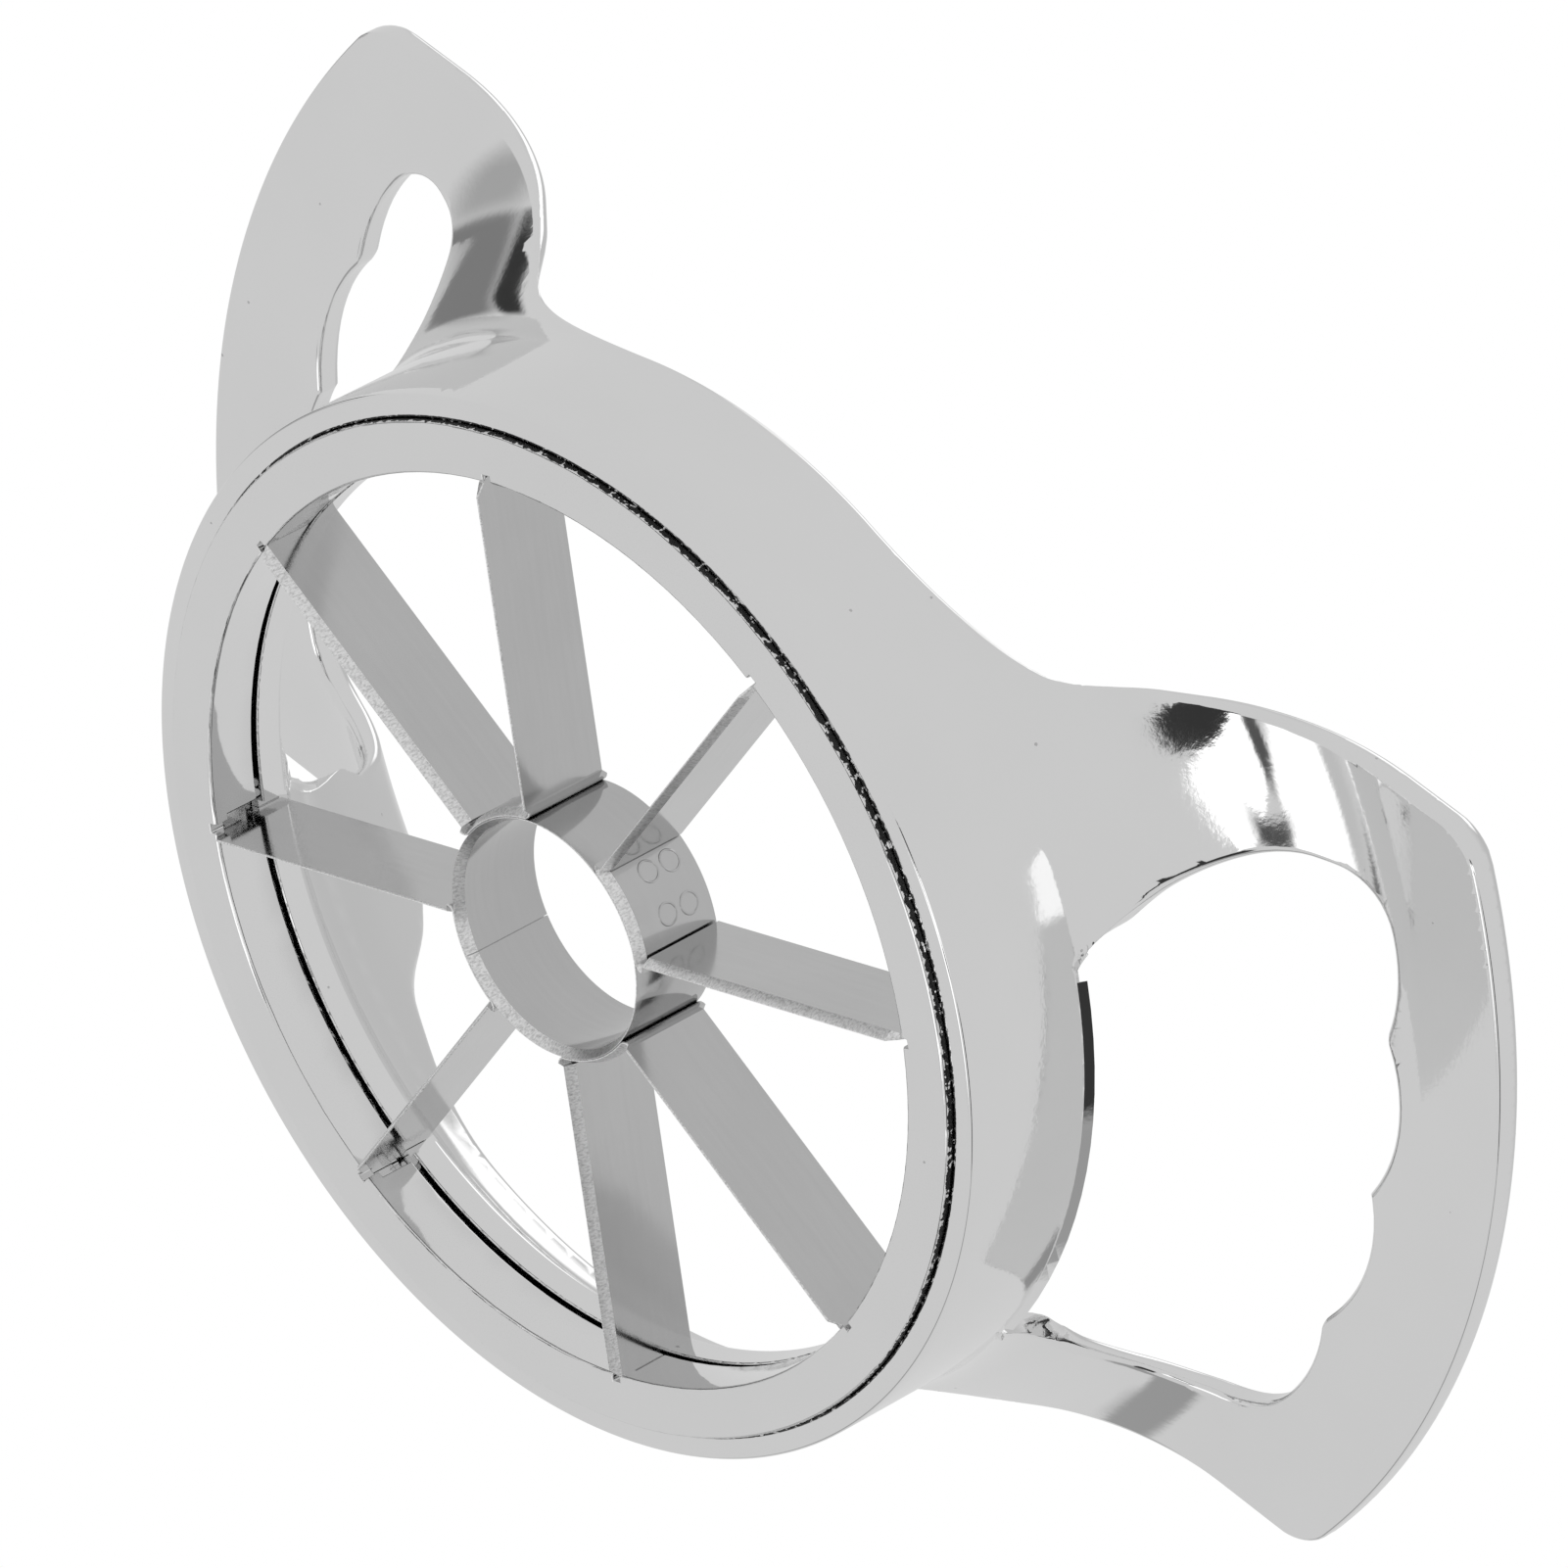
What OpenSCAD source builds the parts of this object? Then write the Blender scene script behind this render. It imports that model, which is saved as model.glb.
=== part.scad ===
// Hand-held apple slicer: a ring with eight radial blades round a coring tube,
// pushed down over the apple by two finger-loop handles.
// Frame: origin on the ring's axis in the plane of the cutting edges,
// +Z from the cutting edges up to the handles, X along the handles.

/* [Ring] */
// Diameter of the opening that the wedges pass through
bore_d = 96; // [90:0.5:100]
// Width of the retaining ring round the bore
clamp_w = 5.4; // [4.8:0.1:6]
// Width of the casting's lip outside the retaining ring
lip_w = 2.5; // [2.2:0.1:3]
// Height of the casting's front lip above the cutting edges
lip_z = 1.9; // [1.5:0.1:2.4]
// Height of the casting's bore above the cutting edges, at its rear edge
bore_top = 10.9; // [10.8:0.1:12.5]
// Break on the lip's outer edge
lip_break = 0.35; // [0.2:0.05:0.6]
// Lead-in on the lip's inner edge, which shows as a gap round the retaining ring
seat_break = 0.5; // [0.3:0.05:0.8]
// Height of the rim between the handles
rim_h = 19.1; // [18:0.1:20]
// Level stretch of that rim, as a share of the way to an arm
rim_flat_share = 0.41; // [0.35:0.01:0.5]
// Rise of its sweeps up to an arm, as a share of the lower bend's radius
rim_rise_share = 0.51; // [0.46:0.01:0.56]
// Height of the rim under a finger window
window_rim_h = 18.3; // [17.9:0.1:18.8]
// Overhang of the rim under a finger window
window_rim_out = 0.6; // [0.4:0.05:0.8]
// Height of that overhang
window_rim_lip = 0.85; // [0.6:0.05:1]
// Angle by which it ends short of the window's sides
lip_end_a = 3; // [3:0.2:5]

/* [Handles] */
// Length over both grips
span = 177; // [172:0.5:182]
// Width of a handle
handle_w = 91.8; // [88:0.2:92]
// Thickness of the casting in wall and grips
shell_t = 3.3; // [2.8:0.1:3.6]
// Thickness of the arms between the bends
arm_t = 1.7; // [1.5:0.1:2.4]
// Height at which the wall starts to flare
flare_z = 17.1; // [16:0.1:17.6]
// Radius of the lower bend, as a share of the handle's reach beyond the wall
bend_low_share = 0.46; // [0.42:0.01:0.5]
// Lean of the arms away from upright, in degrees
lean = 35; // [33:0.5:37]
// Length of the straight between the bends, as a share of the same reach
straight_share = 0.273; // [0.24:0.01:0.3]
// Radius of the upper bend, as a share of the same reach
bend_high_share = 0.552; // [0.5:0.01:0.6]
// Radius of both bends on the inside of the arms, as a share of the same reach
bend_in_share = 0.614; // [0.58:0.01:0.65]
// Radius of a handle's outer corners
corner_r = 3; // [2:0.5:5]

/* [Finger windows] */
// Width of an arm beside its window
side_w = 11.9; // [11:0.1:14]
// Width of the grip outside the window, as a share of the handle's reach
bar_share = 0.396; // [0.36:0.01:0.43]
// Radius of a window's inner corners, as a share of its width
window_in_share = 0.15; // [0.12:0.01:0.16]
// Half angle that a window takes from the wall, in degrees
window_half_a = 26.5; // [25:0.5:27]
// Radius of the hollow corners between the wall's rim and the arms
rim_corner_r = 8; // [6:0.5:9]
// Radius of a finger scallop, as a share of the window's width
scallop_share = 0.291; // [0.27:0.01:0.31]
// Radius of the outer corners, as a share of the window's width
window_out_share = 0.118; // [0.1:0.01:0.13]

/* [Blades] */
// Number of blades, two on each strip
blades = 8; // [8:8]
// Thickness of the blade strip
blade_t = 0.7; // [0.5:0.05:0.9]
// Height of the blades
blade_h = 10.7; // [10:0.1:10.8]
// Height of the ground bevel
bevel_h = 1.1; // [0.8:0.1:1.4]
// Thickness left at the cutting edge
edge_t = 0.1; // [0.05:0.05:0.2]
// Setback of the back bevel, along the blade and up it
back_bevel = 0.15; // [0.1:0.05:0.25]
// Outer radius of the bend between a blade and its wrap
strip_bend_r = 1; // [0.9:0.05:1.4]
// Slope of a blade's front outer corner, as run against rise
nose_run = 1; // [0.6:0.1:1.4]
// How far the blades stand out in front of the retaining ring
blade_proud = 1.1; // [0.8:0.1:1.4]
// How far a blade reaches into its slit
blade_reach = 0.6; // [0.4:0.1:1]
// How far a blade's tab reaches beyond the blade
tab_reach = 2; // [1.5:0.1:2.2]
// Height at which the tabs start, above the cutting edges
tab_z = 2.9; // [2.6:0.1:3.4]

/* [Coring tube] */
// Outside diameter of the coring tube
core_d = 25.5; // [22:0.5:28]
// Thickness of the tube's strip
core_t = 0.7; // [0.5:0.05:0.9]
// Direction of the tube's butt seam, in degrees
seam_a = 135; // [125:1:145]
// Gap left in the butt seam
seam_gap = 0.12; // [0.1:0.02:0.3]

/* [Retaining ring] */
// Height of the retaining ring
clamp_h = 5.8; // [5.6:0.1:6]
// Height of the shadow groove behind the retaining ring
groove_h = 0.8; // [0.6:0.1:1]
// Depth of that groove beyond the bore
groove_depth = 3; // [2.9:0.1:3.4]
// Width of the notches behind the slits
notch_w = 2.2; // [1.8:0.1:2.8]
// Break on the ring's front edges
clamp_break = 0.25; // [0.15:0.05:0.4]
// Play on each side of a blade in its slit
slit_play = 0.12; // [0.1:0.02:0.2]
// Play at the end of a blade
end_play = 0.2; // [0.15:0.05:0.3]

/* [Hidden] */
$fn = 144;
bend_steps = 8;
over = 3;
bore_r = bore_d / 2;
seat_r = bore_r + clamp_w;
wall_r = seat_r + lip_w;
core_r = core_d / 2;
pitch_a = 360 / blades;
face_z = blade_proud;
clamp_top = face_z + clamp_h;
shelf_z = clamp_top + groove_h;
groove_r = bore_r + groove_depth;
tab_h = shelf_z - tab_z;
inner_r = wall_r - shell_t;

// Centres of the two bends in the wall's section, and the grip's underside
reach = span / 2 - wall_r;
bend_low_r = bend_low_share * reach;
bend_high_r = bend_high_share * reach;
bend_in_r = bend_in_share * reach;
straight = straight_share * reach;
low_x = wall_r + bend_low_r;
high_x = low_x + straight * sin(lean) + (bend_high_r - bend_low_r) * cos(lean);
high_z = flare_z + straight * cos(lean) + (bend_low_r - bend_high_r) * sin(lean);
grip_z = high_z + bend_high_r;
top_z = grip_z + shell_t;

// Centres of the same bends on the inside, from the arm's own thickness
straight_c = low_x * cos(lean) - flare_z * sin(lean) - bend_low_r - arm_t;
low_in_x = inner_r + bend_in_r;
low_in_z = (low_in_x * cos(lean) - bend_in_r - straight_c) / sin(lean);
high_in_z = top_z - bend_in_r;
high_in_x = (straight_c + bend_in_r + high_in_z * sin(lean)) / cos(lean);

// The funnel that the bore opens into, as its slope and its height at a radius
funnel_out = wall_r + window_rim_out;
funnel_k = (window_rim_h - bore_top) / (funnel_out - bore_r);
function funnel_z(r) = bore_top + (r - bore_r) * funnel_k;

// The sweep that the rim takes up to an arm, and where the two meet on the flare
rim_rise = rim_rise_share * bend_low_r;
root_up = rim_h + rim_rise - flare_z;
root_out_r = low_x - sqrt(bend_low_r * bend_low_r - root_up * root_up);
arm_root_x = sqrt(root_out_r * root_out_r - handle_w * handle_w / 4);
rim_flat = rim_flat_share * arm_root_x;
rim_run = arm_root_x - rim_flat;
rim_sweep_r = (rim_run * rim_run + rim_rise * rim_rise) / (2 * rim_rise);

// The window's plan: four scallops from side to side, with the corners beyond them;
// a wide, shallow window has smaller scallops
window_w = handle_w - 2 * side_w;
window_x = wall_r * cos(window_half_a);
scallop_reach = span / 2 - bar_share * reach;
window_u = min(window_w, 2.66 * (scallop_reach - window_x));
scallop_r = scallop_share * window_u;
window_out_r = window_out_share * window_u;
scallop_y = window_w / 2 - 0.2 * window_u;
scallop_a = asin(scallop_y / (scallop_reach - scallop_r));
scallop_x = (scallop_reach - scallop_r) * cos(scallop_a);
out_y = window_w / 2 - window_out_r;
out_a = asin((out_y - scallop_y) / (scallop_r - window_out_r));
out_x = scallop_x + (scallop_r - window_out_r) * cos(out_a);
window_in_r = min(window_in_share * window_w, 0.85 * (out_x - window_x));
rim_corner_y = funnel_out * sin(window_half_a) - rim_corner_r;

slit_w = blade_t + 2 * slit_play;
slit_r = bore_r + blade_reach + end_play;
notch_r = bore_r + blade_reach + tab_reach + end_play;
bend_x = sqrt(pow(core_r + strip_bend_r, 2) - pow(strip_bend_r - blade_t, 2));
bend_a = atan((strip_bend_r - blade_t) / bend_x);

// Points on an arc about [x, z], in equal steps from angle a1 to a2
function arc(x, z, r, a1, a2) = [
    for (i = [0:bend_steps])
        let (a = a1 + (a2 - a1) * i / bend_steps)
            [x + r * cos(a), z + r * sin(a)]
];

// Half section of the flared shell, from the wall up over both bends to the grip
module shell_2d() {
    polygon(concat(
        [[inner_r, shelf_z], [wall_r, shelf_z]],
        arc(low_x, flare_z, bend_low_r, 180, 180 - lean),
        arc(high_x, high_z, bend_high_r, 180 - lean, 90),
        [[span / 2, grip_z], [span / 2, top_z]],
        arc(high_in_x, high_in_z, bend_in_r, 90, 180 - lean),
        arc(low_in_x, low_in_z, bend_in_r, 180 - lean, 180)
    ));
}

// Half section of the ring below the funnel, with the seat and the groove
module ring_2d() {
    polygon([
        [seat_r, lip_z + seat_break],
        [seat_r + seat_break, lip_z],
        [wall_r - lip_break, lip_z],
        [wall_r, lip_z + lip_break],
        [wall_r, flare_z],
        [inner_r, funnel_z(inner_r)],
        [bore_r, bore_top],
        [bore_r, shelf_z + clamp_break],
        [bore_r + clamp_break, shelf_z],
        [groove_r, shelf_z],
        [groove_r, clamp_top],
        [seat_r, clamp_top]
    ]);
}

// Everything above the level rim and its sweeps, seen from the side
module side_cut() {
    rotate([90, 0, 0])
        linear_extrude(span, center = true) {
            translate([-rim_flat, rim_h])
                square([2 * rim_flat, top_z]);
            translate([-arm_root_x, rim_h + rim_sweep_r])
                square([2 * arm_root_x, top_z]);
            intersection() {
                for (s = [-1, 1])
                    translate([s * rim_flat, rim_h + rim_sweep_r])
                        circle(rim_sweep_r);
                translate([-arm_root_x, rim_h - over])
                    square([2 * arm_root_x, top_z]);
            }
        }
}

// A handle's plan outside its width and its rounded corners
module plan_cut() {
    side = handle_w / 2;
    cy = side - corner_r;
    cx = sqrt(pow(span / 2 - corner_r, 2) - cy * cy);
    for (s = [-1, 1])
        scale([1, s]) {
            translate([arm_root_x, side])
                square([span, span]);
            difference() {
                polygon([[cx, cy], [cx, span], [span, span], [span, cy * span / cx]]);
                translate([cx, cy])
                    circle(corner_r);
            }
        }
}

// Plan of a finger window: rounded inner corners, four scallops on the outside
module window_2d() {
    half = window_w / 2;
    in_x = window_x + window_in_r;
    wedge = (span - scallop_x) * tan(out_a);
    translate([in_x, -half])
        square([out_x - in_x, window_w]);
    translate([window_x, window_in_r - half])
        square([out_x - window_x, window_w - 2 * window_in_r]);
    for (s = [-1, 1]) {
        translate([in_x, s * (half - window_in_r)])
            circle(window_in_r);
        translate([out_x, s * out_y])
            circle(window_out_r);
    }
    intersection() {
        for (a = [-1:2/3:1])
            rotate(a * scallop_a)
                translate([scallop_reach - scallop_r, 0])
                    circle(scallop_r);
        polygon([
            [window_x, 0],
            [scallop_x, scallop_y],
            [span, scallop_y + wedge],
            [span, -scallop_y - wedge],
            [scallop_x, -scallop_y]
        ]);
    }
}

// What a finger window removes from wall, arms and grip, down to the funnel,
// with hollow corners where the wall's rim runs up into the arms
module window_cut() {
    corner_z = funnel_z(inner_r) + rim_corner_r;
    intersection() {
        union() {
            linear_extrude(top_z + over)
                window_2d();
            rotate([0, 0, -window_half_a])
                rotate_extrude(angle = 2 * window_half_a)
                    square([funnel_out, top_z]);
        }
        rotate_extrude()
            polygon([
                [core_r, funnel_z(core_r)],
                [funnel_out, window_rim_h],
                [span, window_rim_h],
                [span, top_z + over],
                [core_r, top_z + over]
            ]);
        rotate([90, 0, 90])
            linear_extrude(span) {
                translate([-span / 2, corner_z])
                    square([span, top_z]);
                translate([-rim_corner_y, 0])
                    square([2 * rim_corner_y, top_z]);
                for (s = [-1, 1])
                    translate([s * rim_corner_y, corner_z])
                        circle(rim_corner_r);
            }
    }
}

// The small overhang along the rim under a window, before the funnel trims it
module window_rim() {
    lip_a = window_half_a - lip_end_a;
    mid_r = wall_r - shell_t / 2;
    low_z = window_rim_h - window_rim_lip;
    rise = window_rim_lip / window_rim_out;
    rotate([0, 0, -lip_a])
        rotate_extrude(angle = 2 * lip_a)
            polygon([
                [mid_r, low_z],
                [wall_r, low_z],
                [wall_r + 2 * window_rim_out, low_z + 2 * window_rim_out * rise],
                [mid_r, low_z + 2 * window_rim_out * rise]
            ]);
}

// Places a blade's solids: in its plane, with the strip's thickness outside the V
module at_blade(i) {
    rotate([0, 0, (i + 0.5) * pitch_a])
        scale([1, i % 2 == 0 ? 1 : -1, 1])
            translate([0, -blade_t / 2, 0])
                children();
}

// The die-cast body: ring wall, flared arms and grips in one piece
module body() {
    color([0.8, 0.81, 0.83])
        difference() {
            union() {
                rotate_extrude()
                    union() {
                        ring_2d();
                        shell_2d();
                    }
                for (s = [0, 180])
                    rotate([0, 0, s])
                        window_rim();
            }
            side_cut();
            for (s = [0, 180])
                rotate([0, 0, s]) {
                    translate([0, 0, flare_z])
                        linear_extrude(top_z)
                            plan_cut();
                    window_cut();
                }
            for (i = [0:blades - 1])
                at_blade(i)
                    translate([bore_r - over, -slit_w / 2, shelf_z - groove_h / 2])
                        cube([slit_r + over - bore_r, slit_w, bore_top]);
        }
}

// The retaining ring, with a slit and a wider notch behind it for each blade
module retaining_ring() {
    color([0.76, 0.77, 0.79])
        difference() {
            rotate_extrude()
                polygon([
                    [bore_r + clamp_break, face_z],
                    [seat_r - clamp_break, face_z],
                    [seat_r, face_z + clamp_break],
                    [seat_r, clamp_top],
                    [bore_r, clamp_top],
                    [bore_r, face_z + clamp_break]
                ]);
            for (i = [0:blades - 1])
                at_blade(i) {
                    translate([bore_r - over, -slit_w / 2, -over])
                        cube([slit_r + over - bore_r, slit_w, clamp_top + over]);
                    translate([bore_r - over, -notch_w / 2, tab_z])
                        cube([notch_r + over - bore_r, notch_w, clamp_h]);
                }
        }
}

// The coring tube: a rolled strip with a butt seam, ground sharp on the inside
module core_tube() {
    color([0.68, 0.68, 0.69])
        difference() {
            rotate_extrude()
                polygon([
                    [core_r - edge_t, 0],
                    [core_r, back_bevel],
                    [core_r, blade_h],
                    [core_r - core_t, blade_h],
                    [core_r - core_t, bevel_h]
                ]);
            rotate([0, 0, seam_a])
                translate([0, -seam_gap / 2, -over])
                    cube([core_d, seam_gap, blade_h + 2 * over]);
        }
}

// Section of the blade strip, its rear edge still untrimmed: x from the back of
// the V to its inside, y up
module strip_2d() {
    polygon([
        [0, back_bevel],
        [back_bevel / 2, 0],
        [back_bevel / 2 + edge_t, 0],
        [blade_t, bevel_h],
        [blade_t, blade_h + over],
        [0, blade_h + over]
    ]);
}

// The middle of the strip's thickness, running on across an end of the bend
module bend_end() {
    translate([0, blade_t / 2 - strip_bend_r, (bevel_h + blade_h) / 2])
        cube([blade_t / 2, blade_t / 2, (blade_h - bevel_h) / 2], center = true);
}

// One blade with its bend and its share of the wrap; the wrap ends at y = 0,
// with the bend's centre on the x axis beyond it
module half_strip() {
    translate([core_r + strip_bend_r, 0, 0]) {
        difference() {
            rotate_extrude()
                translate([strip_bend_r, 0])
                    scale([-1, 1])
                        strip_2d();
            translate([-over, 0, -over])
                cube([2 * over, over, blade_h + 3 * over]);
            rotate([0, 0, -bend_a])
                translate([0, -over, -over])
                    cube([over, 2 * over, blade_h + 3 * over]);
        }
        rotate([0, 0, -bend_a]) {
            bend_end();
            translate([0, -strip_bend_r, 0])
                blade();
        }
        rotate([0, 0, -90])
            bend_end();
    }
    rotate_extrude(angle = pitch_a / 2)
        translate([core_r, 0])
            strip_2d();
}

// A straight blade with its tab, along x from the end of its bend
module blade() {
    reach = bore_r - bend_x;
    difference() {
        union() {
            rotate([90, 0, 90])
                linear_extrude(reach + blade_reach)
                    strip_2d();
            translate([reach, 0, tab_z])
                cube([blade_reach + tab_reach, blade_t, tab_h]);
        }
        translate([reach, over, blade_proud])
            rotate([90, 0, 0])
                linear_extrude(2 * over)
                    polygon([
                        [-over * nose_run, -over],
                        [0, 0],
                        [over * nose_run, over],
                        [over * nose_run, -over]
                    ]);
    }
}

// A strip bent to a V: two blades and the wrap welded round the tube between them,
// trimmed to one height
module blade_strip(k) {
    color([0.7, 0.7, 0.71])
        difference() {
            rotate([0, 0, (2 * k + 1) * pitch_a])
                for (s = [-1, 1])
                    scale([1, s, 1])
                        rotate([0, 0, bend_a - pitch_a / 2])
                            half_strip();
            translate([-wall_r, -wall_r, blade_h])
                cube([2 * wall_r, 2 * wall_r, 2 * over]);
        }
}

module blade_strip_1() {
    blade_strip(0);
}

module blade_strip_2() {
    blade_strip(1);
}

module blade_strip_3() {
    blade_strip(2);
}

module blade_strip_4() {
    blade_strip(3);
}

body();
retaining_ring();
core_tube();
blade_strip_1();
blade_strip_2();
blade_strip_3();
blade_strip_4();
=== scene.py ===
import math

import bmesh
import bpy
import numpy as np
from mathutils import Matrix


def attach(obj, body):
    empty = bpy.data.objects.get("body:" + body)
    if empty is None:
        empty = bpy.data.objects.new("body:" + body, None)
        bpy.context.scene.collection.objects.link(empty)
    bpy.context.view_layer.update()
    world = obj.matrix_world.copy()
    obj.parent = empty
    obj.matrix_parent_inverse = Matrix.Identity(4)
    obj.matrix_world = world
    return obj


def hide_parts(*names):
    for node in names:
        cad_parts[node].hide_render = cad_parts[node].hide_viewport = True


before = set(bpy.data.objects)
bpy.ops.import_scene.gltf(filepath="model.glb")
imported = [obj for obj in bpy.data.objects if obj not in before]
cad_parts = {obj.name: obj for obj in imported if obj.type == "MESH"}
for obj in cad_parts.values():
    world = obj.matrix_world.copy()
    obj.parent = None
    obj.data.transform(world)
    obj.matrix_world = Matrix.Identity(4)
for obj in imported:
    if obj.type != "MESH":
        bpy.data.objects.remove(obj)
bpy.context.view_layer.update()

# Camera and studio
# The slicer is seen from its cutting side, from below and to one side, through a
# very long lens. The room is bright on all sides, with a few dark stands in it.
camera_data = bpy.data.cameras.new("photo_camera")
camera_data.lens = 387.64
camera_data.sensor_width = 36
camera_data.clip_start = 0.1
camera_data.clip_end = 20
camera = bpy.data.objects.new("photo_camera", camera_data)
camera.location = (0.79221, -1.05199, -0.97776)
camera.rotation_euler = [math.radians(a) for a in (148.7307, -44.5059, -12.0106)]
bpy.context.scene.collection.objects.link(camera)
bpy.context.scene.camera = camera
bpy.context.scene.view_settings.view_transform = "Standard"


def add_node(tree, kind, x, y, **settings):
    node = tree.nodes.new(kind)
    node.location = (x, y)
    for name, value in settings.items():
        setattr(node, name, value)
    return node


def math_node(tree, operation, x, y, a, b=None, c=None, clamp=False):
    node = add_node(tree, "ShaderNodeMath", x, y, operation=operation, use_clamp=clamp)
    for socket, value in zip(node.inputs, (a, b, c)):
        if value is None:
            continue
        if isinstance(value, bpy.types.NodeSocket):
            tree.links.new(value, socket)
        else:
            socket.default_value = value
    return node.outputs[0]


# One soft-edged panel of the room: 1 inside its width and height, 0 outside
panel = bpy.data.node_groups.new("studio_panel", "ShaderNodeTree")
for name in ("Azimuth", "Elevation", "Centre azimuth", "Centre elevation",
             "Half width", "Half height", "Softness"):
    panel.interface.new_socket(name, in_out="INPUT", socket_type="NodeSocketFloat")
panel.interface.new_socket("Mask", in_out="OUTPUT", socket_type="NodeSocketFloat")
inside = add_node(panel, "NodeGroupInput", -900, 0).outputs
across = math_node(panel, "WRAP", -500, 200,
                   math_node(panel, "SUBTRACT", -700, 200, inside["Azimuth"], inside["Centre azimuth"]),
                   180.0, -180.0)
across = math_node(panel, "DIVIDE", -100, 200, math_node(panel, "ABSOLUTE", -300, 200, across),
                   inside["Half width"])
above = math_node(panel, "SUBTRACT", -700, -100, inside["Elevation"], inside["Centre elevation"])
above = math_node(panel, "DIVIDE", -100, -100, math_node(panel, "ABSOLUTE", -300, -100, above),
                  inside["Half height"])
far = math_node(panel, "POWER", 500, 0, math_node(
    panel, "ADD", 300, 0, math_node(panel, "POWER", 100, 200, across, 4.0),
    math_node(panel, "POWER", 100, -100, above, 4.0)), 0.25)
edge = add_node(panel, "ShaderNodeMapRange", 700, 0, interpolation_type="SMOOTHSTEP")
outer = math_node(panel, "ADD", 500, -250, inside["Softness"], 1.0)
inner = math_node(panel, "SUBTRACT", 500, -400, 1.0, inside["Softness"])
panel.links.new(far, edge.inputs["Value"])
panel.links.new(outer, edge.inputs["From Min"])
panel.links.new(inner, edge.inputs["From Max"])
panel.links.new(edge.outputs["Result"], add_node(panel, "NodeGroupOutput", 900, 0).inputs["Mask"])

world = bpy.data.worlds.new("studio")
world.use_nodes = True
bpy.context.scene.world = world
tree = world.node_tree
tree.nodes.clear()
view = add_node(tree, "ShaderNodeTexCoord", -1800, 0)
parts = add_node(tree, "ShaderNodeSeparateXYZ", -1600, 0)
tree.links.new(view.outputs["Generated"], parts.inputs[0])
azimuth = math_node(tree, "MULTIPLY", -1200, 100, math_node(
    tree, "ARCTAN2", -1400, 100, parts.outputs[1], parts.outputs[0]), 57.2958)
elevation = math_node(tree, "MULTIPLY", -1200, -100, math_node(
    tree, "ARCSINE", -1400, -100, parts.outputs[2]), 57.2958)
room = add_node(tree, "ShaderNodeMapRange", -900, 300, interpolation_type="SMOOTHSTEP")
tree.links.new(elevation, room.inputs["Value"])
room.inputs["From Min"].default_value = 40
room.inputs["From Max"].default_value = 65
room.inputs["To Min"].default_value = 0.70
room.inputs["To Max"].default_value = 0.58
level = room.outputs["Result"]
# One of the dark stands leans; the map is sheared for it
lean_az = math_node(tree, "MULTIPLY_ADD", -1000, -300, elevation, 0.95, math_node(
    tree, "ADD", -1200, -300, azimuth, 53.0))
# centre azimuth, centre elevation, half width, half height, softness, level, leaning
for x, values in enumerate((
        (-19, -47, 11.5, 15.3, 0.04, 1.35, False),
        (50, -71, 58, 9.5, 0.10, 1.35, False),
        (-34, -45, 5.5, 13.2, 0.06, 0.04, False),
        (-17, -64, 11, 3.5, 0.40, 0.10, False),
        (0, -54, 3.5, 9, 0.50, 0.08, True),
        (104, -69, 9, 9, 0.50, 0.60, False),
        (109, -56.5, 4, 2.5, 0.50, 0.18, False),
        (162, 12, 9, 9, 0.30, 0.22, False),
        (174, 13, 3, 9, 0.30, 0.04, False),
        (165, -10, 6, 12, 0.60, 0.42, False),
        (90, -12, 3, 9, 0.60, 0.42, False),
        (64, -14, 40, 9, 0.20, 0.36, False),
        (12, -23, 17, 9, 0.12, 0.04, False),
        (-135, 65, 45, 10, 0.30, 1.30, False))):
    mask = add_node(tree, "ShaderNodeGroup", -600 + 220 * x, 0, node_tree=panel)
    tree.links.new(lean_az if values[6] else azimuth, mask.inputs["Azimuth"])
    tree.links.new(elevation, mask.inputs["Elevation"])
    for name, value in zip(("Centre azimuth", "Centre elevation", "Half width",
                            "Half height", "Softness"), values):
        mask.inputs[name].default_value = value
    mix = add_node(tree, "ShaderNodeMix", -500 + 220 * x, 300, data_type="FLOAT")
    tree.links.new(mask.outputs[0], mix.inputs["Factor"])
    tree.links.new(level, mix.inputs["A"])
    mix.inputs["B"].default_value = values[5]
    level = mix.outputs["Result"]
rays = add_node(tree, "ShaderNodeLightPath", 2200, 500)
shown = add_node(tree, "ShaderNodeMix", 2400, 300, data_type="FLOAT")
tree.links.new(rays.outputs["Is Camera Ray"], shown.inputs["Factor"])
tree.links.new(level, shown.inputs["A"])
shown.inputs["B"].default_value = 1.0
sky = add_node(tree, "ShaderNodeBackground", 2600, 300)
sky.inputs["Color"].default_value = (1, 1, 1, 1)
tree.links.new(shown.outputs["Result"], sky.inputs["Strength"])
tree.links.new(sky.outputs[0], add_node(tree, "ShaderNodeOutputWorld", 2800, 300).inputs[0])

# The floor under the cutting edges: solid and pale from above, clear from below
mesh = bpy.data.meshes.new("floor")
mesh.from_pydata([(-2, -2, 0), (2, -2, 0), (2, 2, 0), (-2, 2, 0)], [], [(0, 1, 2, 3)])
floor = bpy.data.objects.new("floor", mesh)
bpy.context.scene.collection.objects.link(floor)
paper = bpy.data.materials.new("floor_paper")
paper.use_nodes = True
tree = paper.node_tree
tree.nodes.clear()
rays = add_node(tree, "ShaderNodeLightPath", -800, 200)
side = add_node(tree, "ShaderNodeNewGeometry", -800, -200)
clear = math_node(tree, "MAXIMUM", -500, 100, rays.outputs["Is Glossy Ray"], side.outputs["Backfacing"])
matt = add_node(tree, "ShaderNodeBsdfDiffuse", -500, -100)
matt.inputs["Color"].default_value = (0.86, 0.86, 0.86, 1)
glass = add_node(tree, "ShaderNodeBsdfTransparent", -500, -300)
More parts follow.
